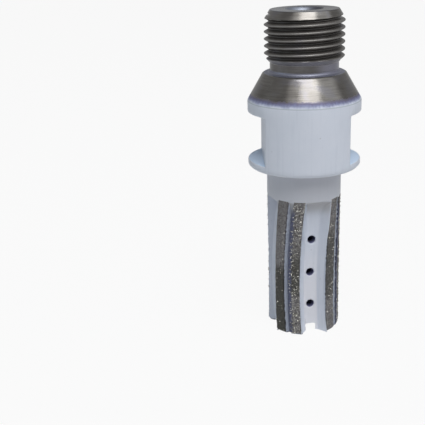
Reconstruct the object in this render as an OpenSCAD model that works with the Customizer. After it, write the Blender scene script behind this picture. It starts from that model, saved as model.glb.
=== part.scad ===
// Finger bit for a stone-cutting CNC machine: a turned and milled steel body
// with brazed diamond segments, screwed into the spindle by its pipe thread.
// It stands on its cutting end, the thread up, with its axis on Z.

/* [Cutter] */
// Diameter over the segments, which is also the diameter of the neck above them
cutter_d = 20; // [18:0.5:24]
// Cutting length, from the tips of the segments up to the neck
cut_l = 39; // [36:1:50]
// Turn of the four wide flutes round the axis, against the wrench flats
clock = 11; // [0:0.5:45]

/* [Segments] */
// Width of one diamond segment
seg_w = 3; // [2.6:0.1:3.4]
// Thickness of a segment from its seat in the body out to the cutting face
seg_t = 3; // [2.4:0.1:3.2]
// Gap between the two segments of a pair, at the cutting face
pair_gap = 1.7; // [1.2:0.1:2.4]
// Rounding of the outer bottom corner of a segment
seg_corner = 1.2; // [0.6:0.1:1.8]
// Radius of the long arc that segments and flutes follow up the cutter
arc_r = 190; // [150:5:400]
// Height of the arc's apex above the tips
arc_z = 15; // [8:1:20]

/* [Flutes] */
// Depth of a wide flute below the cutting face
flute_depth = 3.6; // [3.2:0.1:4]
// Width of the flat floor of a wide flute
flute_floor_w = 3.6; // [3:0.1:4]
// Slant of the side walls of a wide flute
flute_wall_a = 38.5; // [34:0.5:44]
// Depth of the narrow groove between the two segments of a pair
groove_depth = 1.5; // [1:0.1:2]
// Radius of the disc cutter that leaves the run-out at the top of each flute
runout_r = 5.3; // [4:0.1:8]

/* [Coolant] */
// Diameter of the central coolant bore
bore_d = 8; // [6:0.5:9]
// Chamfer at the mouth of the coolant bore
bore_chamfer = 0.8; // [0.3:0.1:1.2]
// Depth of the bore below the edge of the lowest cross hole
bore_land = 0.6; // [0.2:0.1:1]
// Diameter of the cross holes in the flutes
hole_d = 2.2; // [1.5:0.1:2.6]
// Cross holes in each wide flute
holes = 3; // [1:1:3]
// Height of the lowest cross hole above the tips
hole_first = 8.2; // [8:0.1:10]
// Distance from one cross hole to the next
hole_pitch = 9.5; // [7:0.5:10]

/* [End recess] */
// Depth of the recess in the cutting end, at its wall
recess_depth = 2.2; // [1.5:0.1:2.6]
// Further depth of the dished floor at the axis
recess_dish = 0.5; // [0.2:0.1:0.8]
// Wall that the recess leaves behind the segments
recess_wall = 0.4; // [0.3:0.1:0.8]

/* [Neck and collar] */
// Length of the neck between the cutter and the collar
neck_l = 8; // [5:0.5:15]
// Fillet between the neck and the underside of the collar
neck_fillet = 1; // [0.5:0.1:2]
// Diameter of the collar, of the wrench section and of the rim
collar_d = 30; // [27:0.5:34]
// Height of the collar under the wrench flats
collar_h = 2.1; // [1.5:0.1:4]
// Height of the wrench flats
flats_h = 12.8; // [10:0.2:16]
// Distance across the wrench flats
across_flats = 22; // [21:0.5:25]
// Height of the rim between the flats and the seat cone
rim_h = 3; // [2:0.1:5]
// Edge break under the collar
edge_break = 0.7; // [0.2:0.1:1]

/* [Seat and thread] */
// Slant of the seat cone against the axis
cone_a = 30; // [25:1:32]
// Height of the seat cone
cone_h = 7.2; // [5:0.1:7.4]
// Bevel of the ledge on top of the seat cone
ledge_bevel = 0.3; // [0.2:0.1:0.8]
// Diameter of the undercut below the thread
undercut_d = 18; // [17.5:0.1:18.6]
// Length of the undercut
undercut_l = 2.6; // [2:0.1:4]
// Fillet at the foot of the undercut
undercut_fillet = 0.7; // [0.3:0.1:0.9]
// Outside diameter of the pipe thread, standard size 1/2
thread_d = 20.955; // [20.8:0.005:21]
// Pitch of the thread, 14 threads to the inch
thread_pitch = 1.814; // [1.7:0.001:2]
// Length of the thread, without the chamfer at its end
thread_l = 10.9; // [9:0.1:16]
// Height of the chamfer at the end of the thread
chamfer_h = 2.5; // [1.5:0.1:3]
// Diameter of the flat end face inside the chamfer
end_d = 17.9; // [16:0.1:18.5]

/* [Hidden] */
$fn = 120;
// Facets of the long arc, which is far larger than the part
arc_fn = 1080;
// Length by which a cut passes the surface that it opens
over = 2;
// Slant of a drill point against the axis
drill_a = 59;

pairs = 4;
pair_turn = 360 / pairs;
cutter_r = cutter_d / 2;
seat_r = cutter_r - seg_t;
flute_r = cutter_r - flute_depth;
groove_r = cutter_r - groove_depth;
recess_r = seat_r - recess_wall;
// Angle from the middle of a pair to the middle of one of its segments
seg_turn = asin((seg_w + pair_gap) / cutter_d);
// Width of the land between two segments of a pair, on the groove's floor
groove_floor_w = 2 * (groove_r * sin(seg_turn) - seg_w / 2 * cos(seg_turn));
// Reach of the groove's cut into the seats beside it, which are open there
groove_reach = 0.2;

collar_r = collar_d / 2;
thread_r = thread_d / 2;
undercut_r = undercut_d / 2;
cone_top_r = collar_r - cone_h * tan(cone_a);
bore_r = bore_d / 2;
// Width of the ledge on top of the cone, and the fillet that it leaves room for
ledge_w = cone_top_r - ledge_bevel - undercut_r;
foot_fillet = min(undercut_fillet, max(ledge_w, 0.1));

collar_z = cut_l + neck_l;
flats_z = collar_z + collar_h;
rim_z = flats_z + flats_h;
cone_z = rim_z + rim_h;
undercut_z = cone_z + cone_h;
thread_z = undercut_z + undercut_l;
chamfer_z = thread_z + thread_l;
end_z = chamfer_z + chamfer_h;
// Height at which the thread reaches its full diameter
thread_foot_z = thread_z + thread_r - undercut_r;
// Form of a pipe thread: its depth, and the flats that stand for its round crest and root
thread_depth = 0.6403 * thread_pitch;
thread_flat = thread_pitch / 6;
thread_grooves = floor((chamfer_z - thread_foot_z) / thread_pitch) + 1;
bore_z = hole_first - hole_d / 2 - bore_land;

// Sideways place of the long arc at height z
function arc_shift(z) = arc_r - sqrt(arc_r * arc_r - (z - arc_z) * (z - arc_z));
// Height at which a floor of the given depth starts to rise in its run-out
function runout_z(depth) = cut_l - sqrt(depth * (2 * runout_r - depth));
// Turn of the middle of flute k, and of pair k that follows it
function flute_turn(k) = clock + k * pair_turn;
function pair_middle(k) = flute_turn(k) + pair_turn / 2;

// Upright slab of width w along the long arc, from the axis out along X
module arc_slab(w, length) {
    translate([0, arc_r, arc_z])
        rotate([0, 90, 0])
            difference() {
                cylinder(r = arc_r + w / 2, h = length, $fn = arc_fn);
                translate([0, 0, -1])
                    cylinder(r = arc_r - w / 2, h = length + 2, $fn = arc_fn);
            }
}

// Trapezoid swept along the long arc: floor of width w at floor_r, walls slanted by wall_a
module arc_channel(w, floor_r, wall_a) {
    depth = cutter_r + over - floor_r;
    flare = depth * tan(wall_a);
    translate([0, arc_r, arc_z])
        rotate([0, 90, 0])
            rotate_extrude($fn = arc_fn)
                polygon([
                    [arc_r - w / 2, floor_r],
                    [arc_r + w / 2, floor_r],
                    [arc_r + w / 2 + flare, floor_r + depth],
                    [arc_r - w / 2 - flare, floor_r + depth]
                ]);
}

// Space that a disc cutter reaches: straight up the body, then out along its own radius
module cutter_reach(floor_r) {
    top = runout_z(cutter_r - floor_r);
    translate([floor_r, -cutter_r, -over])
        cube([cutter_r + over - floor_r, cutter_d, top + over]);
    translate([floor_r + runout_r, 0, top])
        rotate([90, 0, 0])
            cylinder(r = runout_r, h = cutter_d, center = true);
}

// Wide flute between two pairs of segments
module wide_flute() {
    intersection() {
        arc_channel(flute_floor_w, flute_r, flute_wall_a);
        cutter_reach(flute_r);
    }
}

// Narrow groove between the two segments of a pair
module narrow_groove() {
    intersection() {
        arc_channel(groove_floor_w + 2 * groove_reach, groove_r, seg_turn);
        cutter_reach(groove_r);
    }
}

// Seat for a segment, open at the tip and outwards
module segment_seat() {
    intersection() {
        arc_slab(seg_w, cutter_r + over);
        difference() {
            translate([0, 0, -over]) cylinder(r = cutter_r + over, h = cut_l + over);
            translate([0, 0, -over - 1]) cylinder(r = seat_r, h = cut_l + over + 2);
        }
    }
}

// One diamond segment, its outer bottom corner rounded
module segment() {
    intersection() {
        arc_slab(seg_w, cutter_r + over);
        rotate_extrude() {
            translate([seat_r, seg_corner]) square([seg_t, cut_l - seg_corner]);
            translate([seat_r, 0]) square([seg_t - seg_corner, seg_corner]);
            translate([cutter_r - seg_corner, seg_corner]) circle(r = seg_corner);
        }
    }
}

// Turns its children to segment n, counted from 1 round the cutter
module at_segment(n) {
    pair = floor((n - 1) / 2);
    side = n % 2 == 1 ? -1 : 1;
    rotate([0, 0, pair_middle(pair) + side * seg_turn]) children();
}

// Dished recess in the cutting end
module end_recess() {
    rotate_extrude()
        polygon([
            [0, -over],
            [recess_r, -over],
            [recess_r, recess_depth],
            [0, recess_depth + recess_dish]
        ]);
}

// Coolant bore from the threaded end, with its drill point and chamfered mouth
module coolant_bore() {
    point_h = bore_r / tan(drill_a);
    translate([0, 0, bore_z]) cylinder(r = bore_r, h = end_z - bore_z + over);
    translate([0, 0, bore_z - point_h]) cylinder(r1 = 0, r2 = bore_r, h = point_h);
    translate([0, 0, end_z - bore_chamfer])
        cylinder(r1 = bore_r, r2 = bore_r + bore_chamfer + over, h = bore_chamfer + over);
}

// Cross holes from the floor of a wide flute into the bore
module cross_holes() {
    for (i = [0 : holes - 1]) {
        z = hole_first + i * hole_pitch;
        translate([0, arc_shift(z), z])
            rotate([0, 90, 0]) cylinder(d = hole_d, h = cutter_r);
    }
}

// Everything that the lathe turns: blank for the cutter, neck, collar, rim, seat and thread
module turned_blank() {
    rotate_extrude() {
        polygon([
            [0, 0],
            [cutter_r, 0],
            [cutter_r, collar_z],
            [collar_r - edge_break, collar_z],
            [collar_r, collar_z + edge_break],
            [collar_r, cone_z],
            [cone_top_r + ledge_bevel * tan(cone_a), undercut_z - ledge_bevel],
            [cone_top_r - ledge_bevel, undercut_z],
            [undercut_r, undercut_z],
            [undercut_r, thread_z],
            [thread_r, thread_foot_z],
            [thread_r, chamfer_z],
            [end_d / 2, end_z],
            [0, end_z]
        ]);
        difference() {
            translate([cutter_r, collar_z - neck_fillet]) square(neck_fillet);
            translate([cutter_r + neck_fillet, collar_z - neck_fillet]) circle(r = neck_fillet);
        }
        difference() {
            translate([undercut_r, undercut_z]) square(foot_fillet);
            translate([undercut_r + foot_fillet, undercut_z + foot_fillet])
                circle(r = foot_fillet);
        }
    }
}

// Section of one groove of the thread, at height z
module thread_groove(z) {
    half = (thread_pitch - thread_flat) / 2;
    flare = (half - thread_flat / 2) / thread_depth * over;
    polygon([
        [thread_r - thread_depth, z - thread_flat / 2],
        [thread_r + over, z - half - flare],
        [thread_r + over, z + half + flare],
        [thread_r - thread_depth, z + thread_flat / 2]
    ]);
}

// Turns of the thread as rings of its true pitch, depth and flank, without its slight climb
module thread_rings() {
    rotate_extrude()
        for (i = [0 : thread_grooves - 1]) thread_groove(chamfer_z - i * thread_pitch);
}

// The two gaps that leave the wrench flats
module flat_cuts() {
    for (side = [0, 1])
        mirror([side, 0, 0])
            translate([across_flats / 2, -collar_r, flats_z])
                cube([collar_r, collar_d, flats_h]);
}

module tool_body() {
    color("lightsteelblue")
    difference() {
        turned_blank();
        thread_rings();
        flat_cuts();
        end_recess();
        coolant_bore();
        for (k = [0 : pairs - 1]) {
            rotate([0, 0, flute_turn(k)]) {
                wide_flute();
                cross_holes();
            }
            rotate([0, 0, pair_middle(k)]) narrow_groove();
        }
        for (n = [1 : 2 * pairs]) at_segment(n) segment_seat();
    }
}

module diamond_segment(n) {
    color("dimgray") at_segment(n) segment();
}

tool_body();
diamond_segment(1);  // segment_1
diamond_segment(2);  // segment_2
diamond_segment(3);  // segment_3
diamond_segment(4);  // segment_4
diamond_segment(5);  // segment_5
diamond_segment(6);  // segment_6
diamond_segment(7);  // segment_7
diamond_segment(8);  // segment_8
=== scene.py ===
# %% [markdown]
# # A stone-cutting finger bit, dressed for its portrait
#
# The CAD model gives the true shape of the tool: a turned steel body with a pipe thread, and eight
# diamond segments brazed into curved seats. Here we load that model as a fixed frame and build the
# looks around it: soft painted edges, a real helical thread, rough sintered segments with grit, and
# the finishes. Everything stays in metres and in the same place as the CAD.

import cmath
import math

import bmesh
import bpy
import numpy as np
from mathutils import Euler, Matrix, Vector


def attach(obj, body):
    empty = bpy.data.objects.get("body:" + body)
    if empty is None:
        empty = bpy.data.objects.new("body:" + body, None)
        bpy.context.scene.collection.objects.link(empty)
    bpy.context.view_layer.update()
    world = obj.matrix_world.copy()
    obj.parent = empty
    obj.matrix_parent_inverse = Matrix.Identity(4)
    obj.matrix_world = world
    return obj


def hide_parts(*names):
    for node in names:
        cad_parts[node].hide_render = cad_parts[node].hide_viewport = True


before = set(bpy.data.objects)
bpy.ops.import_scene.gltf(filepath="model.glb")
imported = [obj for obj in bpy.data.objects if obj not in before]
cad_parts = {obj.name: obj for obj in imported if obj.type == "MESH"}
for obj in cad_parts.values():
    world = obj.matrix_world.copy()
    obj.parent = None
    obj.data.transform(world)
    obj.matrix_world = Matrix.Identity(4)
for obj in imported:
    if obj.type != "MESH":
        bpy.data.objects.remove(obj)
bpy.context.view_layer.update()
print("CAD nodes:", sorted(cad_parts))

# %% [markdown]
# ## The sizes
#
# A maker thinks in millimetres, so the sizes below are the ones of the workshop drawing, and one
# factor turns them into Blender's metres at the very end of each mesh. They are the same values as
# in the CAD source, because the two models have to agree.

# %% Sizes of the cutter, in millimetres
MM = 0.001
CUTTER_R = 10.0
CUT_L = 39.0
CLOCK = math.radians(11)
SEG_W = 3.0
SEAT_R = 7.0
SEG_CORNER = 1.2
SEG_TURN = math.asin(4.7 / 20)
ARC_R = 190.0
ARC_Z = 15.0
FLUTE_R = 6.4
FLUTE_FLOOR = 3.6
FLUTE_WALL = math.radians(38.5)
GROOVE_R = 8.5
RUNOUT_R = 5.3
BORE_R = 4.0
BORE_Z = 6.5
BORE_TIP_Z = 4.1
HOLE_R = 1.1
HOLES = 3
HOLE_FIRST = 8.2
HOLE_PITCH = 9.5
PAIRS = 4
RECESS_R = 6.6
RECESS_Z = 2.2
RECESS_TOP = 2.7
print("one segment every", round(math.degrees(2 * SEG_TURN), 2), "degrees inside a pair")

# %% Sizes of the neck, the wrench section and the shank, in millimetres
NECK_TOP = 47.0
NECK_FILLET = 1.0
COLLAR_R = 15.0
FLATS_Z = 49.1
FLATS_TOP = 61.9
FLAT_X = 11.0
CONE_Z = 64.9
CONE_TOP = 72.1
LEDGE_R = 10.843
UNDERCUT_R = 9.0
UNDERCUT_FILLET = 0.7
THREAD_Z = 74.7
CHAMFER_Z = 85.6
END_Z = 88.1
END_R = 8.95
THREAD_R = 10.4775
ROOT_R = 9.3155
PITCH = 1.814
CREST_Z = 84.30
EDGE_BREAK = 0.7
print("thread turns:", round((CHAMFER_Z - THREAD_Z) / PITCH, 1))

# %% [markdown]
# ## The camera
#
# The view comes from a small camera fit: the outline of the tool in the photograph was matched
# with the known thread diameter. The result is a longish lens, a camera a little left of the tool
# and above its middle, looking down at about nineteen degrees, with a slight roll.

# %% Camera
LENS_MM = 70.60
SENSOR_MM = 36
CAMERA_PLACE = Vector((-21.40, -218.57, 108.21)) * MM
CAMERA_TILT = math.radians(71.17)
CAMERA_TURN = math.radians(1.0)
CAMERA_ROLL = math.radians(-1.88)


def new_object(name, data):
    """An object for some data, linked to the scene."""
    made = bpy.data.objects.new(name, data)
    bpy.context.scene.collection.objects.link(made)
    return made


camera_data = bpy.data.cameras.new("photo_camera")
camera_data.lens = LENS_MM
camera_data.sensor_width = SENSOR_MM
camera_data.sensor_fit = "HORIZONTAL"
camera_data.clip_start = 0.01
camera_data.clip_end = 100
camera = new_object("photo_camera", camera_data)
turn = Euler((CAMERA_TILT, 0, CAMERA_TURN)).to_matrix() @ Matrix.Rotation(CAMERA_ROLL, 3, "Z")
camera.matrix_world = Matrix.Translation(CAMERA_PLACE) @ turn.to_4x4()
bpy.context.scene.camera = camera
print("camera stands", round(CAMERA_PLACE.length / MM), "mm from the tip")

# %% [markdown]
# ## A bench for nodes
#
# Shaders and geometry trees are both graphs of nodes. Written out link by link they are hard to
# read, so one small class wraps a socket and lets Python's own operators add the Math nodes. A
# second class holds the tree. One method of it adds any node, and short ones add the usual kinds.

# %% Wires and bench
class Wire:
    """An output socket that can be used in sums like a number."""

    def __init__(self, bench, socket):
        self.bench = bench
        self.socket = socket

    def math(self, operation, *terms):
        return self.bench.node("ShaderNodeMath", {"operation": operation}, dict(enumerate(terms)))

    def __add__(self, other):
        return self.math("ADD", self, other)

    __radd__ = __add__

    def __sub__(self, other):
        return self.math("SUBTRACT", self, other)

    def __rsub__(self, other):
        return self.math("SUBTRACT", other, self)

    def __mul__(self, other):
        return self.math("MULTIPLY", self, other)

    __rmul__ = __mul__

    def __truediv__(self, other):
        return self.math("DIVIDE", self, other)

    def __lt__(self, other):
        return self.math("LESS_THAN", self, other)

    def __gt__(self, other):
        return self.math("GREATER_THAN", self, other)

    def __abs__(self):
        return self.math("ABSOLUTE", self)

    def __pow__(self, power):
        return self.math("POWER", self, power)


class Bench:
    """A node tree, with methods that add nodes to it."""

    def __init__(self, tree):
        self.tree = tree

    def node(self, kind, settings=None, sockets=None, out=0):
        """Adds a node, sets it up, feeds its sockets and returns one of its outputs."""
        made = self.tree.nodes.new(kind)
        for name, value in (settings or {}).items():
            setattr(made, name, value)
        for key, value in (sockets or {}).items():
            if isinstance(value, Wire):
                self.tree.links.new(value.socket, made.inputs[key])
            else:
                made.inputs[key].default_value = value
        return Wire(self, made.outputs[out])

    def other(self, wire, out):
        """Another output of the node that a wire comes from."""
        return Wire(self, wire.socket.node.outputs[out])

    def smooth(self, value, start, end):
        """Runs softly from 0 at start to 1 at end."""
        ends = {"Value": value, "From Min": start, "From Max": end}
        return self.node("ShaderNodeMapRange", {"interpolation_type": "SMOOTHSTEP"}, ends)

    def blend(self, factor, first, second):
        """Colour that goes from the first to the second."""
        sockets = {0: factor, 6: first, 7: second}
        return self.node("ShaderNodeMix", {"data_type": "RGBA"}, sockets, 2)

    def coats(self, tone, *coats):
        """The tone with coats laid over it in turn, each a factor and a colour."""
        for factor, shade in coats:
            tone = self.blend(factor, tone, shade)
        return tone

    def noise(self, place, scale, detail=2.0, rough=0.5):
        """Soft noise around 0.5, whose scale is in cycles for one unit of place."""
        sockets = {"Vector": place, "Scale": scale, "Detail": detail, "Roughness": rough}
        return self.node("ShaderNodeTexNoise", None, sockets)

    def vector(self, operation, sockets, out=0):
        """Vector math."""
        return self.node("ShaderNodeVectorMath", {"operation": operation}, sockets, out)

    def stretch(self, place, x, y, z):
        """A place with each of its three numbers multiplied."""
        return self.vector("MULTIPLY", {0: place, 1: (x, y, z)})

    def split(self, place):
        """The three numbers of a place."""
        x = self.node("ShaderNodeSeparateXYZ", None, {0: place})
        return x, self.other(x, 1), self.other(x, 2)

    def join(self, x, y, z):
        """The place with these three numbers."""
        return self.node("ShaderNodeCombineXYZ", None, {0: x, 1: y, 2: z})

    def show(self, kind, shader):
        """Hands a shader to an output node of this kind."""
        output = self.tree.nodes.new(kind)
        self.tree.links.new(shader.socket, output.inputs["Surface"])


def empty_bench(owner):
    """A bench for the emptied node tree of a material or a world."""
    owner.use_nodes = True
    owner.node_tree.nodes.clear()
    return Bench(owner.node_tree)


print("the bench is ready")

# %% [markdown]
# ## Helpers for meshes
#
# Most of this tool is turned, so one helper spins a closed profile round the axis. A second one
# skins a stack of rings with the same number of points, which serves every part of the body whose
# outline is not a circle: the fluted cutter and the section with the wrench flats.

# %% Mesh helpers
SHARP = 35
WELD = 2e-7


def mesh_piece(name, points, faces, sharp=SHARP):
    """A mesh object from points in millimetres, smooth apart from edges above an angle."""
    mesh = bpy.data.meshes.new(name)
    mesh.from_pydata((np.asarray(points) * MM).tolist(), [], faces)
    mesh.validate()
    made = new_object(name, mesh)
    soften(made, sharp)
    return made


def soften(piece, sharp):
    """Smooth shading, with the edges above an angle kept sharp."""
    piece.data.shade_smooth()
    piece.data.set_sharp_from_angle(angle=math.radians(sharp))


def weld(piece):
    """Joins points that lie on each other, so that the skin is closed everywhere."""
    work = bmesh.new()
    work.from_mesh(piece.data)
    bmesh.ops.remove_doubles(work, verts=work.verts, dist=WELD)
    bmesh.ops.dissolve_degenerate(work, edges=work.edges, dist=WELD)
    work.to_mesh(piece.data)
    work.free()


def ring_faces(count, around, loop=False):
    """Quads between rings that follow each other, and from the last to the first for a loop."""
    faces = []
    for i in range(count if loop else count - 1):
        low = i * around
        high = (i + 1) % count * around
        for j in range(around):
            k = (j + 1) % around
            faces.append((low + j, low + k, high + k, high + j))
    return faces


def spun(profile, around):
    """Rings round the axis, one for each (radius, height) of a profile."""
    angles = np.arange(around) * 2 * math.pi / around
    return [np.column_stack((r * np.cos(angles), r * np.sin(angles), np.full(around, z)))
            for r, z in profile]


def turned(name, profile, around):
    """A closed ring of metal, whose profile runs counter-clockwise."""
    faces = ring_faces(len(profile), around, loop=True)
    return mesh_piece(name, np.vstack(spun(profile, around)), faces)


def run(start, end, steps):
    """Points on a straight line, without its last one."""
    return [start + (end - start) * i / steps for i in range(steps)]


def bend(start, corner, end, steps):
    """Points on the soft curve that replaces a corner, without its last one."""
    made = []
    for i in range(steps):
        t = i / steps
        made.append((1 - t) ** 2 * start + 2 * t * (1 - t) * corner + t * t * end)
    return made


print("mesh helpers: ring_faces, spun, turned, run, bend")

# %% [markdown]
# ## The fluted cutter, one outline at a time
#
# On the real tool a disc cutter mills four wide flutes and four narrow grooves along a very large
# arc, and the segments sit in slots on the same arc. A loft is the natural way to build it: the
# outline is worked out at each height and the outlines are skinned. The corners of the outline are
# crossings of straight lines, which are short to write with complex numbers: a line is all points
# whose side step from a direction is constant.

# %% Outline of the cutter
FLOOR_STEPS = 8
SOFT_STEPS = 4
WALL_STEPS = 5
LAND_STEPS = 3
SIDE_STEPS = 2
SEAT_STEPS = 6
CORNER_SOFT = 0.5
SOFT_SHARE = 0.45
TINY = 1e-6


def arc_shift(z):
    """How far the long arc has moved sideways at height z."""
    return ARC_R - math.sqrt(ARC_R ** 2 - (z - ARC_Z) ** 2)


def floor_x(z, floor):
    """Distance of a milled floor from the axis, with the cutter's run-out at its top."""
    start = CUT_L - math.sqrt((CUTTER_R - floor) * (2 * RUNOUT_R - CUTTER_R + floor))
    if z <= start:
        return floor
    return floor + RUNOUT_R - math.sqrt(max(RUNOUT_R ** 2 - (z - start) ** 2, 0))


def crossing(way_1, side_1, way_2, side_2):
    """Where two lines cross, each given by its direction and its side step from the axis."""
    return (side_2 * way_1 - side_1 * way_2) / (way_1 * way_2.conjugate()).imag


def on_flank(way, side, radius):
    """The point of a slot's side at a distance from the axis."""
    return complex(math.sqrt(radius ** 2 - side ** 2), side) * way


def milled(way, floor, start, end, steps):
    """Points of a milled floor between two side steps, held inside the round blank."""
    return [complex(min(floor, math.sqrt(CUTTER_R ** 2 - y * y)), y) * way
            for y in run(start, end, steps)]


def side_of(point, way):
    """Side step of a point from a direction."""
    return (point * way.conjugate()).imag


print("the arc moves", round(arc_shift(CUT_L), 2), "mm sideways at the neck")


# %% One quarter of the outline
def flute_side(z, way, turn_sign, slot_way, slot_side):
    """Foot and end of a wide flute's wall, and the lip of the slot beside it."""
    shift = arc_shift(z)
    floor = floor_x(z, FLUTE_R)
    lean = way * cmath.exp(1j * turn_sign * FLUTE_WALL)
    wall = side_of(complex(FLUTE_R, shift + turn_sign * FLUTE_FLOOR / 2) * way, lean)
    lip = on_flank(slot_way, slot_side, CUTTER_R)
    top = crossing(lean, wall, slot_way, slot_side)
    foot = crossing(1j * way, -floor, lean, wall)
    if (top * way.conjugate()).real <= floor:
        meeting = crossing(1j * way, -floor, slot_way, slot_side)
        return (meeting,) * 3 if abs(meeting) < CUTTER_R else (lip,) * 3
    if abs(foot) >= CUTTER_R:
        return (lip,) * 3
    if abs(top) <= CUTTER_R:
        return foot, top, top
    return foot, on_flank(lean, wall, CUTTER_R), lip


def flute_half(z, way, turn_sign, slot_way, slot_side):
    """Points from the middle of a flute to the lip of a slot, and the lip itself."""
    shift = arc_shift(z)
    foot, end, lip = flute_side(z, way, turn_sign, slot_way, slot_side)
    foot_side = side_of(foot, way)
    soft = min(CORNER_SOFT, SOFT_SHARE * abs(foot_side - shift), SOFT_SHARE * abs(end - foot))
    before = foot - turn_sign * soft * 1j * way
    after = foot + (end - foot) / max(abs(end - foot), 1e-9) * soft
    floor = milled(way, floor_x(z, FLUTE_R), shift, foot_side - turn_sign * soft, FLOOR_STEPS)
    land = [p / max(abs(p) / CUTTER_R, 1.0) for p in run(end, lip, LAND_STEPS)]
    if abs(lip) > CUTTER_R - TINY:
        land = [p / abs(p) * CUTTER_R for p in land]
    wall = bend(before, foot, after, SOFT_STEPS) + run(after, end, WALL_STEPS)
    return floor + wall + land, lip


def quarter(z):
    """One quarter of the outline at height z, from the middle of a flute to the next one."""
    shift = arc_shift(z)
    flute = cmath.exp(1j * CLOCK)
    pair = flute * cmath.exp(1j * math.pi / PAIRS)
    slot_a = pair * cmath.exp(-1j * SEG_TURN)
    slot_b = pair * cmath.exp(1j * SEG_TURN)
    near = shift - SEG_W / 2
    far = shift + SEG_W / 2
    first, lip_a = flute_half(z, flute, 1, slot_a, near)
    last, lip_b = flute_half(z, flute * 1j, -1, slot_b, far)
    groove = floor_x(z, GROOVE_R)
    land = []
    for way, side in ((slot_a, far), (slot_b, near)):
        edge = crossing(1j * pair, -groove, way, side)
        land.append(edge if abs(edge) < CUTTER_R else on_flank(way, side, CUTTER_R))
    slots = []
    for way, start, end in ((slot_a, lip_a, land[0]), (slot_b, land[1], lip_b)):
        low = on_flank(way, near, SEAT_R)
        high = on_flank(way, far, SEAT_R)
        arc = [p / abs(p) * SEAT_R for p in run(low, high, SEAT_STEPS)]
        slots.append(run(start, low, SIDE_STEPS) + arc + run(high, end, SIDE_STEPS))
    floor = milled(pair, groove, side_of(land[0], pair), side_of(land[1], pair), FLOOR_STEPS)
    return first + slots[0] + floor + slots[1] + [lip_b] + last[:0:-1]


QUARTER = len(quarter(10.0))
AROUND = PAIRS * QUARTER
print("outline points:", AROUND)

# %% [markdown]
# ## The turned and milled body
#
# Above the cutter the tool is turned, apart from the two wrench flats. The stack of rings goes on
# through the neck, the fillet, the collar, the flats, the rim and the seat cone, and then down the
# coolant bore, so that the body is one closed skin. Where the paint lies thick on an edge, the ring
# stack takes two or three short steps instead of one sharp turn.

# %% Rings of the cutter and the neck
STRAIGHT_TOP = 33.5
RUNOUT_START = 33.7
NECK_RINGS = (39.6, 42.0, 44.5)
FILLET_STEPS = 6


def level(outline, z):
    """A ring at one height from complex points."""
    points = np.asarray(outline)
    return np.column_stack((points.real, points.imag, np.full(len(points), z)))


def cutter_outline(z):
    """The whole outline at height z."""
    part = quarter(z)
    return [p * 1j ** k for k in range(PAIRS) for p in part]


def neck_angles():
    """Angles of a round ring whose points follow the outline at the neck, without the slots."""
    angles = np.unwrap(np.angle(cutter_outline(CUT_L)))
    slot = 2 * SIDE_STEPS + SEAT_STEPS
    first = FLOOR_STEPS + SOFT_STEPS + WALL_STEPS + LAND_STEPS
    second = first + slot + FLOOR_STEPS
    for k in range(PAIRS):
        for start in (k * QUARTER + first, k * QUARTER + second):
            ends = angles[start], angles[start + slot]
            angles[start:start + slot] = np.linspace(*ends, slot + 1)[:-1]
    return angles


def circle(radius, angles):
    """A ring of points at the given angles."""
    return radius * np.exp(1j * np.asarray(angles))


straight = np.linspace(0, STRAIGHT_TOP, 36)
curved = np.linspace(RUNOUT_START, CUT_L, 30)
rings = [level(cutter_outline(z), z) for z in (*straight, *curved)]
NECK_TURN = neck_angles()
rings += [level(circle(CUTTER_R, NECK_TURN), z)
          for z in (CUT_L, *NECK_RINGS, NECK_TOP - NECK_FILLET)]
for step in range(1, FILLET_STEPS + 1):
    turn_down = math.pi / 2 * step / FILLET_STEPS
    rings.append(level(circle(CUTTER_R + NECK_FILLET * (1 - math.cos(turn_down)), NECK_TURN),
                       NECK_TOP - NECK_FILLET * (1 - math.sin(turn_down))))
print("rings up to the collar:", len(rings))

# %% Rings of the wrench section and the seat cone
FLAT_STEPS = 22
FLAT_SOFT = 0.45
FLAT_RINGS = (53.0, 56.0, 59.0)
FRONT_STEPS = QUARTER - FLAT_STEPS - SOFT_STEPS
CONE_ROWS = 12
ROLL = 5


def wrench_quarter(radius, flat):
    """A quarter of the wrench section, from the middle of the right flat to the back."""
    end = math.sqrt(radius ** 2 - flat ** 2)
    corner = complex(flat, end)
    after = radius * cmath.exp(1j * (math.atan2(end, flat) + FLAT_SOFT / radius))
    before = complex(flat, end - FLAT_SOFT)
    front = [radius * cmath.exp(1j * t)
             for t in np.linspace(cmath.phase(after), math.pi / 2, FRONT_STEPS + 1)[:-1]]
    side = run(complex(flat, 0), before, FLAT_STEPS)
    return side + bend(before, corner, after, SOFT_STEPS) + front


def whole(part):
    """Four quarters, mirrored in turn, starting where the cutter's outline starts."""
    top = complex(0, abs(part[-1]))
    half = part + [top] + [complex(-p.real, p.imag) for p in part[:0:-1]]
    return np.roll(np.asarray(half + [-p for p in half]), -ROLL)


WRENCH = whole(wrench_quarter(COLLAR_R, FLAT_X))
WRENCH_TURN = np.unwrap(np.angle(WRENCH))
NEAR_FLAT = np.abs(np.abs(WRENCH.real) - FLAT_X) < TINY
ROUND_SHARE = np.where(NEAR_FLAT, 1.0, 0.0)


def collar_ring(radius, z):
    """A round ring with its points where the wrench section has them."""
    rings.append(level(circle(radius, WRENCH_TURN), z))


def ledge_ring(inset, z, share):
    """A ring on a ledge: round in front, and drawn in over the flats."""
    round_part = circle(COLLAR_R - inset * ROUND_SHARE, WRENCH_TURN)
    rings.append(level(round_part * (1 - share) + WRENCH * share, z))


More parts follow.
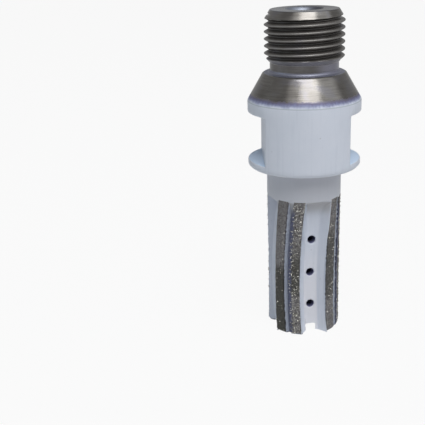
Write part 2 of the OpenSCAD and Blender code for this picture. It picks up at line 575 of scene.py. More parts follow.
# For each ring of a ledge: its inset, how far it lies beyond the flats, and its share of them.
LEDGE = ((0, 0.3, 0), (0.09, 0.09, 0), (0.3, 0, 0), (0.3, 0, 0.5), (0.3, 0, 0.93),
         (0.3, -0.1, 0.98))
collar_ring(COLLAR_R - EDGE_BREAK - 0.5, NECK_TOP)
collar_ring(COLLAR_R - EDGE_BREAK - 0.1, NECK_TOP)
collar_ring(COLLAR_R - EDGE_BREAK + 0.08, NECK_TOP + 0.09)
collar_ring(COLLAR_R - 0.09, NECK_TOP + EDGE_BREAK - 0.08)
collar_ring(COLLAR_R, NECK_TOP + EDGE_BREAK + 0.15)
for inset, beyond, share in LEDGE:
    ledge_ring(inset, FLATS_Z - beyond, share)
for z in (FLATS_Z + 0.4, *FLAT_RINGS, FLATS_TOP - 0.4):
    rings.append(level(WRENCH, z))
for inset, beyond, share in reversed(LEDGE):
    ledge_ring(inset, FLATS_TOP + beyond, share)
slope = (LEDGE_R - COLLAR_R) / (CONE_TOP - CONE_Z)
for z, radius in ((CONE_Z - 0.25, COLLAR_R), (CONE_Z, COLLAR_R - 0.05)):
    collar_ring(radius, z)
for z in np.linspace(CONE_Z + 0.3, CONE_TOP - 0.32, CONE_ROWS):
    collar_ring(COLLAR_R + slope * (z - CONE_Z), z)
collar_ring(LEDGE_R - 0.12, CONE_TOP - 0.12)
for radius, z in ((LEDGE_R - 0.38, CONE_TOP), (UNDERCUT_R, CONE_TOP), (BORE_R, CONE_TOP),
                  (BORE_R, 50.0), (BORE_R, 30.0), (BORE_R, BORE_Z)):
    collar_ring(radius, z)
print("rings in all:", len(rings))

# %% Skin of the body
points = np.vstack(rings + [np.array([[0, 0, BORE_TIP_Z]])])
tip = len(points) - 1
faces = ring_faces(len(rings), AROUND)
faces.append(tuple(reversed(range(AROUND))))
last = (len(rings) - 1) * AROUND
faces += [(last + j, last + (j + 1) % AROUND, tip) for j in range(AROUND)]
body_blank = mesh_piece("body_blank", points, faces)
weld(body_blank)
print("body blank faces:", len(body_blank.data.polygons))

# %% [markdown]
# ## Geometry trees
#
# What repeats or follows a rule is made by Geometry Nodes: the thread, the pattern of cross holes
# and the diamond grit. Each tree gets named inputs, which a modifier sets by their identifiers.
# When the tree has done its work, its result is kept as a plain mesh and the modifier goes.

# %% Helpers for geometry trees
SOCKETS = {float: "NodeSocketFloat", int: "NodeSocketInt", "object": "NodeSocketObject",
           "material": "NodeSocketMaterial"}


def geometry_tree(name, wanted):
    """A tree with a geometry in and out and the wanted inputs; returns bench and wires."""
    tree = bpy.data.node_groups.new(name, "GeometryNodeTree")
    tree.interface.new_socket(name="Geometry", in_out="INPUT", socket_type="NodeSocketGeometry")
    tree.interface.new_socket(name="Geometry", in_out="OUTPUT", socket_type="NodeSocketGeometry")
    for label, kind in wanted.items():
        tree.interface.new_socket(name=label, in_out="INPUT", socket_type=SOCKETS[kind])
    bench = Bench(tree)
    start = bench.node("NodeGroupInput")
    wires = {label: bench.other(start, label) for label in ("Geometry", *wanted)}
    return bench, wires


def close_tree(bench, geometry):
    """Realizes what the tree made and hands it out."""
    made = bench.node("GeometryNodeRealizeInstances", None, {"Geometry": geometry})
    output = bench.tree.nodes.new("NodeGroupOutput")
    bench.tree.links.new(made.socket, output.inputs[0])


def through(piece, bench, values):
    """The piece after a tree has worked on it, as a plain mesh of the same name."""
    modifier = piece.modifiers.new("work", "NODES")
    modifier.node_group = bench.tree
    for item in bench.tree.interface.items_tree:
        if item.in_out == "INPUT" and item.name in values:
            modifier[item.identifier] = values[item.name]
    return bake_down(piece)


def bake_down(piece):
    """Turns a piece with modifiers into a plain mesh."""
    bpy.context.view_layer.update()
    graph = bpy.context.evaluated_depsgraph_get()
    mesh = bpy.data.meshes.new_from_object(piece.evaluated_get(graph), depsgraph=graph)
    old = piece.data
    piece.modifiers.clear()
    piece.data = mesh
    bpy.data.meshes.remove(old)
    mesh.name = piece.name
    return piece


def drop(piece):
    """Takes a helper object out of the scene."""
    mesh = piece.data
    bpy.data.objects.remove(piece)
    bpy.data.meshes.remove(mesh)


print("geometry helpers are ready")

# %% [markdown]
# ## Cross holes and end recess
#
# Water comes down the bore and leaves through three small holes in every flute. A drill shape with
# a soft flare at its mouth is placed twelve times by a tree, and one boolean takes all of them out
# of the body. A second one takes out the shallow recess in the cutting end.

# %% A drill with a flared mouth
FLARE = ((HOLE_R, 2.6), (HOLE_R, 6.12), (1.13, 6.24), (1.2, 6.33), (1.29, 6.38),
         (1.45, 6.45), (1.45, 8.0))
DRILL_SIDES = 40


def lathe_solid(name, profile, around):
    """A closed solid from a profile that starts and ends on the axis."""
    rows = spun(profile[1:-1], around)
    ends = np.array([[0, 0, profile[0][1]], [0, 0, profile[-1][1]]])
    points = np.vstack(rows + [ends])
    faces = ring_faces(len(rows), around)
    low = len(points) - 2
    top = (len(rows) - 1) * around
    faces += [((j + 1) % around, j, low) for j in range(around)]
    faces += [(top + j, top + (j + 1) % around, low + 1) for j in range(around)]
    return mesh_piece(name, points, faces)


drill = lathe_solid("drill", ((0, FLARE[0][1]), *FLARE, (0, FLARE[-1][1])), DRILL_SIDES)
print("drill faces:", len(drill.data.polygons))

# %% The tree that places the drills
bench, wires = geometry_tree("hole_pattern", {
    "Drill": "object", "Count": int, "Per flute": int, "First": float, "Step": float,
    "Flute turn": float, "Clock": float, "Arc radius": float, "Arc height": float})
row = bench.node("GeometryNodeMeshLine", None, {"Count": wires["Count"]})
index = bench.node("GeometryNodeInputIndex")
flute = index.math("FLOOR", index / wires["Per flute"] + 0.001)
place = index - flute * wires["Per flute"]
height = wires["First"] + place * wires["Step"]
reach = height - wires["Arc height"]
shift = wires["Arc radius"] - (wires["Arc radius"] ** 2 - reach * reach) ** 0.5
angle = wires["Clock"] + flute * wires["Flute turn"]
sine = angle.math("SINE", angle)
cosine = angle.math("COSINE", angle)
where = bench.join(-1 * shift * sine, shift * cosine, height)
row = bench.node("GeometryNodeSetPosition", None, {"Geometry": row, "Position": where})
shape = bench.other(
    bench.node("GeometryNodeObjectInfo", None, {"Object": wires["Drill"]}), "Geometry")
lay = bench.join(0.0, math.pi / 2, angle)
drills = bench.node("GeometryNodeInstanceOnPoints", None, {
    "Points": row, "Instance": shape,
    "Rotation": bench.node("FunctionNodeEulerToRotation", None, {0: lay})})
close_tree(bench, drills)

drills = mesh_piece("drills", [(0, 0, 0)], [])
through(drills, bench, {
    "Drill": drill, "Count": PAIRS * HOLES, "Per flute": HOLES, "First": HOLE_FIRST * MM,
    "Step": HOLE_PITCH * MM, "Flute turn": math.pi / 2, "Clock": CLOCK,
    "Arc radius": ARC_R * MM, "Arc height": ARC_Z * MM})
print("drills:", len(drills.data.polygons) // len(drill.data.polygons))

# %% Recess and boolean
RECESS_SIDES = 160
recess = lathe_solid("recess", (
    (0, -2), (RECESS_R, -2), (RECESS_R, RECESS_Z - 0.3), (RECESS_R - 0.09, RECESS_Z - 0.07),
    (RECESS_R - 0.35, RECESS_Z), (3.3, 2.5), (0, RECESS_TOP)), RECESS_SIDES)


def cut_away(piece, tool):
    """Takes a tool's space out of a closed piece."""
    modifier = piece.modifiers.new("cut", "BOOLEAN")
    modifier.operation = "DIFFERENCE"
    modifier.solver = "MANIFOLD"
    modifier.object = tool
    return bake_down(piece)


cut_away(body_blank, drills)
cut_away(body_blank, recess)
for tool in (drills, drill, recess):
    drop(tool)
body = body_blank
body.name = "painted_body"
soften(body, SHARP)
print("body faces after drilling:", len(body.data.polygons))

# %% [markdown]
# ## The threaded shank
#
# The shank is turned first, with its undercut and its chamfered end, from rings so close together
# that a thread can be pressed into them. The tree does what the threading tool does: at each point
# it works out how far the point is from the crest of the helix, and draws the surface in to the
# rounded flank of the thread. Where the blank is already smaller, as on the chamfer, it stays.

# %% Turned blank of the shank
THREAD_STEP = 0.075
THREAD_SHARP = 60
SHANK_AROUND = 200
outer = []
for step in range(FILLET_STEPS + 1):
    sweep = math.pi / 2 * step / FILLET_STEPS
    outer.append((UNDERCUT_R + UNDERCUT_FILLET * (1 - math.sin(sweep)),
                  CONE_TOP + UNDERCUT_FILLET * (1 - math.cos(sweep))))
outer += [(UNDERCUT_R, 73.7), (UNDERCUT_R, THREAD_Z - 0.15)]
for z in np.arange(THREAD_Z, END_Z - 0.12, THREAD_STEP):
    rise = UNDERCUT_R + (z - THREAD_Z)
    fall = THREAD_R - max(z - CHAMFER_Z, 0) * (THREAD_R - END_R) / (END_Z - CHAMFER_Z)
    outer.append((min(rise, fall, THREAD_R), float(z)))
outer += [(END_R + 0.03, END_Z - 0.08), (END_R - 0.08, END_Z), (END_R - 0.3, END_Z)]
inner = [(BORE_R + 0.9, END_Z), (BORE_R + 0.75, END_Z - 0.08), (BORE_R, END_Z - 0.8),
         (BORE_R, CONE_TOP)]
shank = turned("threaded_shank", outer + inner, SHANK_AROUND)
print("shank rings:", len(outer) + len(inner))

# %% The tree that cuts the thread
bench, wires = geometry_tree("thread_cut", {
    "Pitch": float, "Crest height": float, "Root radius": float, "Thread radius": float,
    "Start": float, "Fade turn": float})
x, y, z = bench.split(bench.node("GeometryNodeInputPosition"))
radius = (x * x + y * y) ** 0.5
turn_share = x.math("ARCTAN2", -1 * y, -1 * x) / (2 * math.pi)
turns = (z - wires["Crest height"]) / wires["Pitch"] - turn_share
off_crest = abs(turns.math("FRACT", turns + 0.5) - 0.5)
flank = 1.25 - 3.0 * off_crest
flank = flank.math("SMOOTH_MIN", flank, 1.0, 0.35)
flank = flank.math("SMOOTH_MAX", flank, 0.0, 0.35)
last_groove = (turns > 1.0) * bench.smooth(turn_share, 0.0, wires["Fade turn"])
flank = flank + last_groove.math("MAXIMUM", last_groove, turns > 2.0)
cut = wires["Root radius"] + flank * (wires["Thread radius"] - wires["Root radius"])
new_radius = radius.math("MINIMUM", radius, cut)
share = new_radius / radius
moved = bench.join(x * share, y * share, z)
chosen = (z > wires["Start"]) * (radius > wires["Root radius"])
cut_thread = bench.node("GeometryNodeSetPosition", None, {
    "Geometry": wires["Geometry"], "Selection": chosen, "Position": moved})
close_tree(bench, cut_thread)
through(shank, bench, {
    "Pitch": PITCH * MM, "Crest height": CREST_Z * MM, "Root radius": ROOT_R * MM,
    "Thread radius": THREAD_R * MM, "Start": (THREAD_Z + 0.05) * MM, "Fade turn": 0.2})
soften(shank, THREAD_SHARP)
print("shank faces:", len(shank.data.polygons))

# %% [markdown]
# ## The diamond segments
#
# A segment is a bar of sintered metal full of diamond grit, three millimetres square and as long
# as the cutter. It follows the same arc as its slot. The block is a skin of square outlines; then
# a tree roughens the cutting face, breaks its edges and sows the grit, with its own seed for each
# segment, so that no two are alike.

# %% Blocks of the segments
FACE_STEPS = 24
FLANK_STEPS = 7
BACK_STEPS = 4
SEG_ROWS = 300
SEG_SHARP = 45


def segment_block(number):
    """The smooth block of segment 1 to 8."""
    pair = (number - 1) // 2
    side = -1 if number % 2 else 1
    way = cmath.exp(1j * (CLOCK + math.pi / 4 + pair * math.pi / 2 + side * SEG_TURN))
    rows = []
    for z in np.linspace(0, CUT_L, SEG_ROWS):
        shift = arc_shift(z)
        down = max(SEG_CORNER - z, 0)
        outside = CUTTER_R - SEG_CORNER + math.sqrt(SEG_CORNER ** 2 - down ** 2)
        corners = [(shift - SEG_W / 2, SEAT_R), (shift - SEG_W / 2, outside),
                   (shift + SEG_W / 2, outside), (shift + SEG_W / 2, SEAT_R)]
        outline = []
        for (y_1, r_1), (y_2, r_2), steps in zip(
            corners, corners[1:] + corners[:1], (FLANK_STEPS, FACE_STEPS, FLANK_STEPS, BACK_STEPS)
        ):
            for y, r in zip(run(y_1, y_2, steps), run(r_1, r_2, steps)):
                outline.append(complex(math.sqrt(r * r - y * y), y) * way)
        rows.append(level(outline, z))
    around = len(rows[0])
    faces = ring_faces(SEG_ROWS, around)
    faces.append(tuple(reversed(range(around))))
    faces.append(tuple(range((SEG_ROWS - 1) * around, SEG_ROWS * around)))
    return mesh_piece(f"diamond_segment_{number}", np.vstack(rows), faces, SEG_SHARP)


segments = [segment_block(n) for n in range(1, 2 * PAIRS + 1)]
print("faces of one block:", len(segments[0].data.polygons))

# %% [markdown]
# ## The finishes
#
# Four finishes cover the tool. White satin paint on everything from the cutter to the foot of the
# seat cone, where it ends in a toothed blue edge of overspray; it is darker on the neck, the flute
# tops and the grooves, as painted shade, and a dark blue line of painted shadow runs beside one
# segment of each pair. Turned steel above it, with the fine rings that the lathe leaves, painted
# shade in the thread roots and painted highlights on its crests and ledges. The sintered bond of
# the segments, grey with dark pores, and dull where the stone has rubbed it. And the grit itself,
# hard pale crystals that flash when the light hits them.

# %% Helpers for materials
def start_material(name):
    """A material, its bench, the place in millimetres, the distance from the axis and the height."""
    material = bpy.data.materials.new(name)
    bench = empty_bench(material)
    coordinates = bench.other(bench.node("ShaderNodeTexCoord"), "Object")
    place = bench.vector("SCALE", {0: coordinates, "Scale": 1 / MM})
    x, y, z = bench.split(place)
    return material, bench, place, (x * x + y * y) ** 0.5, z


def finish_material(bench, sockets, bumps):
    """Principled surface; bumps are heights with their depth in millimetres."""
    normal = None
    for height, depth in bumps:
        feed = {"Height": height, "Distance": depth * MM, "Strength": 1.0}
        if normal is not None:
            feed["Normal"] = normal
        normal = bench.node("ShaderNodeBump", None, feed)
    if normal is not None:
        sockets = {**sockets, "Normal": normal}
    bench.show("ShaderNodeOutputMaterial", bench.node("ShaderNodeBsdfPrincipled", None, sockets))


def colour(red, green, blue):
    """A colour written as it shows, from 0 to 255, as Blender's linear values."""
    parts = [v / 255 for v in (red, green, blue)]
    return (*[v / 12.92 if v <= 0.04045 else ((v + 0.055) / 1.055) ** 2.4 for v in parts], 1.0)


print("satin white in linear values:", [round(v, 3) for v in colour(222, 226, 232)])


# %% Steel and paint
def steel_finish(bench, place):
    """Colour, roughness and turning lines of turned steel."""
    rings_fine = bench.noise(bench.stretch(place, 0.12, 0.12, 9.0), 1.0, 3.0, 0.6)
    rings_wide = bench.noise(bench.stretch(place, 0.05, 0.05, 1.6), 1.0, 2.0)
    cloud = bench.noise(place, 0.22, 3.0)
    shade = bench.smooth(rings_fine * 0.6 + cloud * 0.4, 0.35, 0.65)
    tone = bench.blend(shade, colour(100, 97, 94), colour(128, 125, 121))
    tone = bench.blend(bench.smooth(cloud, 0.5, 0.72) * 0.5, tone, colour(112, 111, 120))
    rough = 0.14 + rings_fine * 0.12 + cloud * 0.06
    return tone, rough, rings_fine * 0.7 + rings_wide * 0.3


def paint_finish(bench, place):
    """Colour, roughness and skin of the white satin paint."""
    cloud = bench.noise(place, 0.16, 3.0)
    streak = bench.noise(bench.stretch(place, 1.6, 1.6, 0.06), 1.0, 2.0)
    tone = bench.blend(cloud, colour(206, 213, 225), colour(219, 223, 233))
    tone = bench.blend(bench.smooth(streak, 0.52, 0.75) * 0.35, tone, colour(194, 201, 214))
    cells = bench.node("ShaderNodeTexVoronoi", None, {"Vector": place, "Scale": 0.42})
    spot = 1 - bench.smooth(cells, 0.03, 0.085)
    rare = bench.node("ShaderNodeTexWhiteNoise", {"noise_dimensions": "3D"}, {
        "Vector": bench.other(cells, "Position")})
    tone = bench.blend(spot * (rare > 0.72) * 0.55, tone, colour(120, 116, 112))
    skin = bench.noise(place, 2.4, 2.0)
    rough = 0.36 + cloud * 0.1
    return tone, rough, skin


def from_seat(bench, place, radius, z):
    """Side step in millimetres from the groove edge of each pair's second segment."""
    x, y, _ = bench.split(place)
    around = x.math("ARCTAN2", y, x) - CLOCK
    local = around.math("WRAP", around, 2 * math.pi / PAIRS, 0.0) - (math.pi / PAIRS + SEG_TURN)
    reach = z - ARC_Z
    shift = ARC_R - (ARC_R ** 2 - reach * reach) ** 0.5
    return radius * local.math("SINE", local) - shift + SEG_W / 2


def painted_groove_shadow(bench, tone, side, z):
    """The tone with a painted shadow: a dark blue line along the groove edge of each pair's second
    segment, where that segment shades the groove.
    """
    line = bench.smooth(side, -1.3, -0.5) * bench.smooth(side, 1.0, 0.3)
    return bench.blend(line * bench.smooth(z, 37.2, 35.2) * 0.95, tone, colour(84, 88, 112))


print("finishes: steel, paint and the line along the groove")

# %% Material of the body
PAINT_END = (65.3, 66.2)
MIST_END = (64.9, 65.7)
HAZE_END = (66.8, 66.0)
RIM_LINE_Z = 64.88
SKIN_DEPTH = 0.012
PAINTED, bench, place, radius, z = start_material("painted_steel")
steel_tone, steel_rough, steel_lines = steel_finish(bench, place)
paint_tone, paint_rough, paint_skin = paint_finish(bench, place)
ragged = bench.noise(place, 0.45, 2.0)
spray = bench.noise(bench.stretch(place, 1.5, 1.5, 0.5), 1.0, 3.0, 0.6)
edge_z = z - (ragged - 0.5) * 0.6 - (spray - 0.5) * 0.8
bare = bench.smooth(edge_z, *PAINT_END)
mist = bench.smooth(edge_z, *MIST_END)
# Painted shade: darker paint on the neck and the tops of the flutes, for the shadow that the collar
# casts.
collar_shade = bench.smooth(z, 34.5, 38.0) * bench.smooth(z, 47.4, 46.6)
# Painted light: lighter paint on the lower flute floors, for the light that the floor throws up into
# them.
painted_floor_light = bench.smooth(radius, 7.0, 6.7) * bench.smooth(z, 30.0, 12.0)
side = from_seat(bench, place, radius, z)
in_groove = bench.smooth(radius, 8.2, 8.35)
# Painted shade: darker bluish paint on the groove floors beside each pair's second segment, where
# the segments shade them.
groove = bench.smooth(side, -1.9, -1.6) * in_groove * bench.smooth(z, 38.8, 37.0) * (side < 0.1)
# Painted shade: dark bluish paint on the hole mouths, the hole walls and the bore, where shade falls
# inside.
hole_and_bore_shade = bench.smooth(radius, 6.36, 6.0) * bench.smooth(z, 3.2, 3.6)
# Painted light: a bluish tint on the ledge at the foot of the flats, for the bluish light that falls
# on it in shade.
painted_shelf_light = bench.smooth(abs(z - FLATS_Z), 0.2, 0.05) * bench.smooth(radius, 14.9, 14.6)
rim_line = bench.smooth(abs(z - RIM_LINE_Z), 0.2, 0.06) * bench.smooth(radius, 14.6, 14.9)
# Painted shade: darker paint on the run-out at the top of each flute, which faces down under the
# collar.
runout_shade = bench.smooth(z, 33.5, 37.0) * bench.smooth(z, 39.6, 38.6)
runout_shade = runout_shade * bench.smooth(radius, 9.95, 9.5)
paint_tone = bench.coats(
    paint_tone, (mist * (0.5 + ragged * 0.5), colour(112, 120, 168)),
    (collar_shade * 0.6, colour(188, 188, 194)), (painted_floor_light * 0.8, colour(226, 226, 232)),
    (groove * 0.8, colour(182, 190, 206)))
# Painted shadow: the dark blue line beside each pair's second segment is laid on the groove floors
# here.
paint_tone = bench.coats(
    paint_tone, (in_groove, painted_groove_shadow(bench, paint_tone, side, z)),
    (hole_and_bore_shade, colour(112, 114, 146)), (painted_shelf_light * 0.8, colour(206, 228, 252)),
    (rim_line * 0.55, colour(150, 160, 166)), (runout_shade * 0.45, colour(170, 166, 160)))
haze = bench.smooth(edge_z, *HAZE_END)
# Painted highlight: a lighter bluish colour on the ledge at the top of the seat cone; its extra
# roughness is the surface's own.
ledge = bench.smooth(z, 72.0, 72.08)
steel_tone = bench.coats(
    steel_tone, (haze * 0.7, colour(98, 96, 136)), (ledge, colour(142, 144, 158)))
steel_rough = steel_rough + ledge * 0.3 + haze * 0.3
finish_material(bench, {
    "Base Color": bench.blend(bare, paint_tone, steel_tone),
    "Metallic": bare * (1 - haze * 0.75),
    "Roughness": paint_rough * (1 - bare) + steel_rough * bare,
    "Specular IOR Level": 0.45},
    [(steel_lines * bare, SKIN_DEPTH), (paint_skin * (1 - bare), SKIN_DEPTH)])
print("material:", PAINTED.name)

# %% Material of the shank
STEEL, bench, place, radius, z = start_material("turned_steel")
tone, rough, lines = steel_finish(bench, place)
past_start = bench.smooth(z, 75.6, 76.2)
# Painted shade: darker steel in the roots of the thread, where shade falls between the crests.
root_shade = bench.smooth(radius, 9.7, 9.3) * past_start * bench.smooth(z, 86.4, 86.0)
threaded = past_start * bench.smooth(z, 85.9, 85.5)
# Painted highlight: lighter steel on the thread crests.
crest_highlight = bench.smooth(radius, 9.8, 10.1) * threaded
# Painted highlight: a light band where the thread starts above the undercut; its extra roughness is
# the surface's own.
underside_highlight = bench.smooth(z, 74.6, 74.8) * bench.smooth(z, 76.2, 75.6)
# Painted highlight: lighter bluish steel on the undercut fillet, for its broad highlight; the extra
# roughness is the surface's own.
foot = bench.smooth(z, 73.0, 72.7)
across = bench.split(place)[0]
# Painted shade and light: the undercut is darker, and lighter towards its right side, where the
# light falls.
undercut_light_and_shade = bench.smooth(radius, 9.3, 9.1) * bench.smooth(z, 74.8, 74.5)
end_face = bench.smooth(z, 87.95, 88.05)
# Painted light and shade: the end face runs from lighter on its left to darker on its right.
end_face_light_and_shade = bench.blend(bench.smooth(across, -2.0, 5.0), colour(117, 119, 127), colour(93, 90, 98))
mouth = bench.smooth(radius, 5.0, 4.85)
# Painted reflection: the bore's mouth chamfer is lighter and bluish on its left and darker on its
# right.
mouth_light_and_shade = bench.blend(
    bench.smooth(across, -1.0, 4.0), colour(136, 141, 152), colour(98, 98, 106))
# Painted shade: dark steel inside the bore below its mouth.
bore_shade = mouth * bench.smooth(z, 87.1, 86.4)
tone = bench.coats(
    tone, (root_shade * 0.6, colour(50, 48, 50)), (crest_highlight * 0.3, colour(158, 156, 154)),
    (underside_highlight * 0.7, colour(176, 175, 180)), (foot, colour(146, 148, 162)),
    (undercut_light_and_shade * 0.3, colour(76, 76, 86)),
    (undercut_light_and_shade * bench.smooth(across, 1.0, 6.0) * 0.6, colour(142, 142, 158)),
    (end_face, end_face_light_and_shade), (mouth, mouth_light_and_shade), (bore_shade, colour(46, 44, 44)))
finish_material(bench, {
    "Base Color": tone, "Metallic": 1.0,
    "Roughness": rough + threaded * 0.22 + underside_highlight * 0.3 + (foot + mouth) * 0.25},
    [(lines, SKIN_DEPTH)])
print("material:", STEEL.name)


# %% Materials of the segments
def segment_material(name, flecks, dull, painted_flank):
    """Sintered bond with dark pores and bright metal, painted on its flanks."""
    material, bench, place, radius, z = start_material(name)
    cloud = bench.noise(place, 0.35, 3.0)
    grain = bench.noise(place, 2.7, 3.0, 0.7)
    tone = bench.blend(cloud, colour(98, 95, 94), colour(134, 132, 134))
    high, low, amount = dull
    edge = z + (cloud - 0.5) * 6
    used = bench.smooth(edge, high + 3, high - 3) * bench.smooth(edge, low - 2, low + 2)
    tone = bench.blend(used * amount, tone, colour(60, 60, 53))
    tone = bench.blend(bench.smooth(grain, 0.5, 0.3), tone, colour(40, 38, 38))
    shine = bench.smooth(grain, 0.55, 0.68) * flecks * (1 - used * amount)
    tone = bench.blend(shine, tone, colour(218, 216, 210))
    cells = bench.node("ShaderNodeTexVoronoi", None, {"Vector": place, "Scale": 1.9})
    tone = bench.blend((1 - bench.smooth(cells, 0.1, 0.26)) * 0.75, tone, colour(30, 28, 30))
    side = from_seat(bench, place, radius, z)
    # Painted shadow: the dark blue line beside the groove edge.
    tone = painted_groove_shadow(bench, tone, side, z)
    tone = bench.blend(bench.smooth(radius, 9.78, 9.6) * 0.8, tone, colour(56, 53, 62))
    paint_tone, paint_rough = paint_finish(bench, place)[:2]
    # Painted shade: the flank paint is a darker copy of the white paint, for the shade on the flanks
    # between segments and in the flutes.
    paint_tone = bench.blend(0.6, paint_tone, colour(186, 193, 208))
    ragged = bench.noise(place, 1.5, 4.0, 0.7)
    bare = bench.smooth(radius + (ragged - 0.5) * 1.2, 9.48, 9.6)
    covered = bench.smooth(side, 2.8, 2.9) * bench.smooth(ragged, 0.66, 0.6) * painted_flank
    bare = bare * (1 - covered)
    ends = bench.smooth(z - (ragged - 0.5) * 0.9, 0.3, 0.15)
    bare = bare.math("MAXIMUM", bare, ends)
    finish_material(bench, {
        "Base Color": bench.blend(bare, paint_tone, tone),
        "Metallic": bare * 0.55,
        "Roughness": paint_rough * (1 - bare) + (0.38 + grain * 0.25) * bare,
        "Specular IOR Level": 0.5}, [(grain * bare, 0.09)])
    return material


def grit_material():
    """Hard pale crystals, each of its own brightness."""
    material, bench, place = start_material("diamond_grit")[:3]
    cells = bench.noise(place, 1.4, 2.0)
    tone = bench.blend(bench.smooth(cells, 0.35, 0.65), colour(92, 88, 78), colour(226, 224, 214))
    finish_material(bench, {"Base Color": tone, "Metallic": 0.7, "Roughness": 0.22}, [])
    return material


GRIT = grit_material()
FLECKS = (0.5, 0.6, 0.7, 0.5, 0.3, 1.0, 0.4, 0.4)
DULL = ((24, 10, 0.5), (18, -5, 0.6), (30, 14, 0.5), (22, 8, 0.6),
        (20, -5, 0.85), (24, 12, 0.75), (29, 11, 0.6), (26, 8, 0.6))
PAINTED_FLANK = (0, 0, 0, 1, 0, 0, 0, 0)
bonds = [segment_material(f"sintered_bond_{n + 1}", FLECKS[n], DULL[n], PAINTED_FLANK[n])
         for n in range(2 * PAIRS)]
print("segment materials:", len(bonds))

# %% [markdown]
# ## Rough faces and grit
#
# The tree works on one block at a time. Two sizes of noise wear the cutting face down, and the
# wear fades out on the tops of its flanks; a scatter of small crystals is sown on the face, turned
# at random. The seed and the depth of wear are inputs, since the segments of a used tool never
# wear alike.

# %% The tree that wears a segment and sows its grit
bench, wires = geometry_tree("worn_face", {
    "Wear": float, "Seed": int, "Grit size": float, "Density": float, "Grit": "material",
    "Bond": "material", "Face radius": float})
position = bench.node("GeometryNodeInputPosition")
x, y, z = bench.split(position)
radius = (x * x + y * y) ** 0.5
face = bench.smooth(radius, wires["Face radius"] - 0.9 * MM, wires["Face radius"] - 0.05 * MM)
moved = bench.vector("ADD", {0: position, 1: bench.join(wires["Seed"] * 0.37, 0.0, 0.0)})
coarse = bench.noise(moved, 900.0, 3.0, 0.6)
fine = bench.noise(moved, 3400.0, 2.0, 0.6)
depth = (bench.smooth(coarse, 0.62, 0.3) * 0.7 + (1 - fine) * 0.55) * wires["Wear"] * face
share = 1 - depth / radius
worn = bench.node("GeometryNodeSetPosition", None, {
    "Geometry": wires["Geometry"], "Position": bench.join(x * share, y * share, z)})
worn = bench.node("GeometryNodeSetMaterial", None, {
    "Geometry": worn, "Material": wires["Bond"]})
away = bench.vector("NORMALIZE", {0: bench.stretch(position, 1.0, 1.0, 0.0)})
outward = bench.vector("DOT_PRODUCT", {0: bench.node("GeometryNodeInputNormal"), 1: away}, 1)
sown_where = (radius > wires["Face radius"] - 0.35 * MM) * (outward > 0.7)
sown = bench.node("GeometryNodeDistributePointsOnFaces", None, {
    "Mesh": worn, "Selection": sown_where, "Density": wires["Density"], "Seed": wires["Seed"]})
crystal = bench.node("GeometryNodeMeshIcoSphere", None, {
    "Radius": wires["Grit size"], "Subdivisions": 1})
spin = bench.node("FunctionNodeRandomValue", {"data_type": "FLOAT_VECTOR"}, {
    0: (0, 0, 0), 1: (6.28, 6.28, 6.28), "Seed": wires["Seed"]})
size = bench.node("FunctionNodeRandomValue", {"data_type": "FLOAT_VECTOR"}, {
    0: (0.55, 0.55, 0.55), 1: (1.15, 1.15, 1.15), "Seed": wires["Seed"] + 3})
crystals = bench.node("GeometryNodeInstanceOnPoints", None, {
    "Points": sown, "Instance": crystal, "Rotation": spin, "Scale": size})
crystals = bench.node("GeometryNodeSetMaterial", None, {
    "Geometry": crystals, "Material": wires["Grit"]})
crystals = bench.node("GeometryNodeSetShadeSmooth", None, {
    "Geometry": bench.node("GeometryNodeRealizeInstances", None, {"Geometry": crystals}),
    "Shade Smooth": False})
both = bench.tree.nodes.new("GeometryNodeJoinGeometry")
for part in (crystals, worn):
    bench.tree.links.new(part.socket, both.inputs[0])
close_tree(bench, Wire(bench, both.outputs[0]))
print("tree:", bench.tree.name)

# %% Wear every segment
FIRST_SEED = 11
GRIT_R = 0.19
PER_MM2 = 1e6
WEAR = (0.18, 0.2, 0.22, 0.18, 0.12, 0.26, 0.2, 0.24)
SOWN = (1.6, 1.7, 1.8, 1.6, 0.35, 2.4, 0.7, 1.2)
for n, piece in enumerate(segments):
    through(piece, bench, {
        "Wear": WEAR[n] * MM, "Seed": n + FIRST_SEED, "Grit size": GRIT_R * MM,
        "Density": SOWN[n] * PER_MM2, "Grit": GRIT, "Bond": bonds[n],
        "Face radius": CUTTER_R * MM})
print("faces of the segments:", sum(len(s.data.polygons) for s in segments))

# %% [markdown]
# ## Each piece takes its place
#
# The painted body and the shank stand for the one CAD solid of the tool body, and each dressed
# segment for its own CAD solid. The tool has no joint, so everything rides on the body called root.

# %% Riding and replacing
for piece, finish in ((body, PAINTED), (shank, STEEL)):
    piece.data.materials.clear()
    piece.data.materials.append(finish)
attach(body, "root")
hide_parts("tool_body")
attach(shank, "root")
for n, piece in enumerate(segments):
    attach(piece, "root")
    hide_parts(f"segment_{n + 1}")

# %% [markdown]
# ## Floor, light and background
#
# The photograph has a pure white ground. The floor is pale, and to the camera and to shiny metal
# it also glows a little, so that it shows white and still keeps a faint shadow. A softbox above
# the camera makes the bright stripe down the cone and the end chamfer, and a narrow one beside it
# the softer stripe to its left. A broad one lifts the right side, a low bluish one the left side,
# and the pale world does the rest.

# %% Floor
MIRRORED = 0.4
FLOOR_HALF = 4


def seen(bench):
    """1 for the camera's rays, less for those that shiny metal mirrors, and 0 for stray light."""
    rays = bench.node("ShaderNodeLightPath")
    share = rays.math("MAXIMUM", rays, bench.other(rays, "Is Glossy Ray") * MIRRORED)
    return share.math("MAXIMUM", share, bench.other(rays, "Is Transmission Ray"))


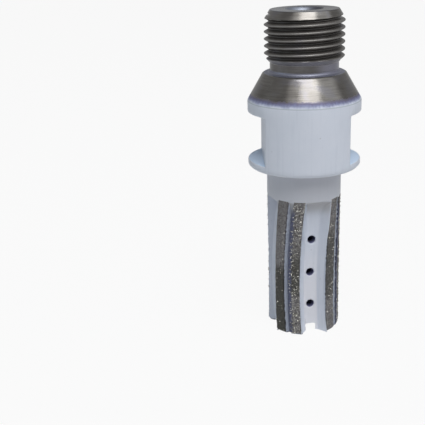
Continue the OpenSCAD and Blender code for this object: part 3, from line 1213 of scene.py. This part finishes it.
floor_mesh = bpy.data.meshes.new("studio_floor")
corners = [(x * FLOOR_HALF, y * FLOOR_HALF, 0) for x, y in ((-1, -1), (1, -1), (1, 1), (-1, 1))]
floor_mesh.from_pydata(corners, [], [(0, 1, 2, 3)])
floor = new_object("studio_floor", floor_mesh)
material = bpy.data.materials.new("pale_floor")
bench = empty_bench(material)
matt = bench.node("ShaderNodeBsdfDiffuse", None, {"Color": (0.9, 0.9, 0.9, 1)})
glow = bench.node("ShaderNodeEmission", None, {"Color": (1, 1, 1, 1), "Strength": 0.97})
shown = bench.node("ShaderNodeMixShader", None, {0: seen(bench) * 0.96, 1: matt, 2: glow})
bench.show("ShaderNodeOutputMaterial", shown)
floor_mesh.materials.append(material)
print("floor:", floor.name)

# %% World
world = bpy.data.worlds.new("studio")
bpy.context.scene.world = world
bench = empty_bench(world)
soft = bench.node("ShaderNodeBackground", None, {"Color": (0.84, 0.91, 1.0, 1), "Strength": 0.08})
white = bench.node("ShaderNodeBackground", None, {"Color": (1, 1, 1, 1), "Strength": 1.0})
shown = bench.node("ShaderNodeMixShader", None, {0: seen(bench), 1: soft, 2: white})
bench.show("ShaderNodeOutputWorld", shown)
print("world:", world.name)


# %% Lamps
AIM = Vector((0, 0, 0.045))


def softbox(name, azimuth, elevation, distance, width, height, radiance, tint):
    """A soft lamp that looks at the middle of the tool; azimuth 0 is in front of it."""
    a = math.radians(azimuth)
    e = math.radians(elevation)
    away = Vector((math.sin(a) * math.cos(e), -math.cos(a) * math.cos(e), math.sin(e)))
    data = bpy.data.lights.new(name, "AREA")
    data.shape = "RECTANGLE"
    data.size = width
    data.size_y = height
    data.energy = radiance * math.pi * width * height
    data.color = tint
    lamp = new_object(name, data)
    lamp.matrix_world = (Matrix.Translation(AIM + away * distance)
                         @ away.to_track_quat("Z", "Y").to_matrix().to_4x4())
    print(name, "gives", round(data.energy, 2), "W")


softbox("front_softbox", 10, 58, 0.8, 0.5, 0.58, 4.2, (1.0, 1.0, 1.0))
softbox("edge_softbox", -36, 58, 0.8, 0.26, 0.5, 0.9, (1.0, 1.0, 1.0))
softbox("right_softbox", 60, 46, 0.9, 0.85, 1.05, 0.8, (0.94, 0.97, 1.0))
softbox("left_softbox", -85, 14, 0.9, 0.7, 0.4, 0.72, (0.74, 0.91, 1.0))

# %% [markdown]
# ## Finish
#
# The colours are shown through the Standard view transform.

# %% View transform
bpy.context.scene.view_settings.view_transform = "Standard"
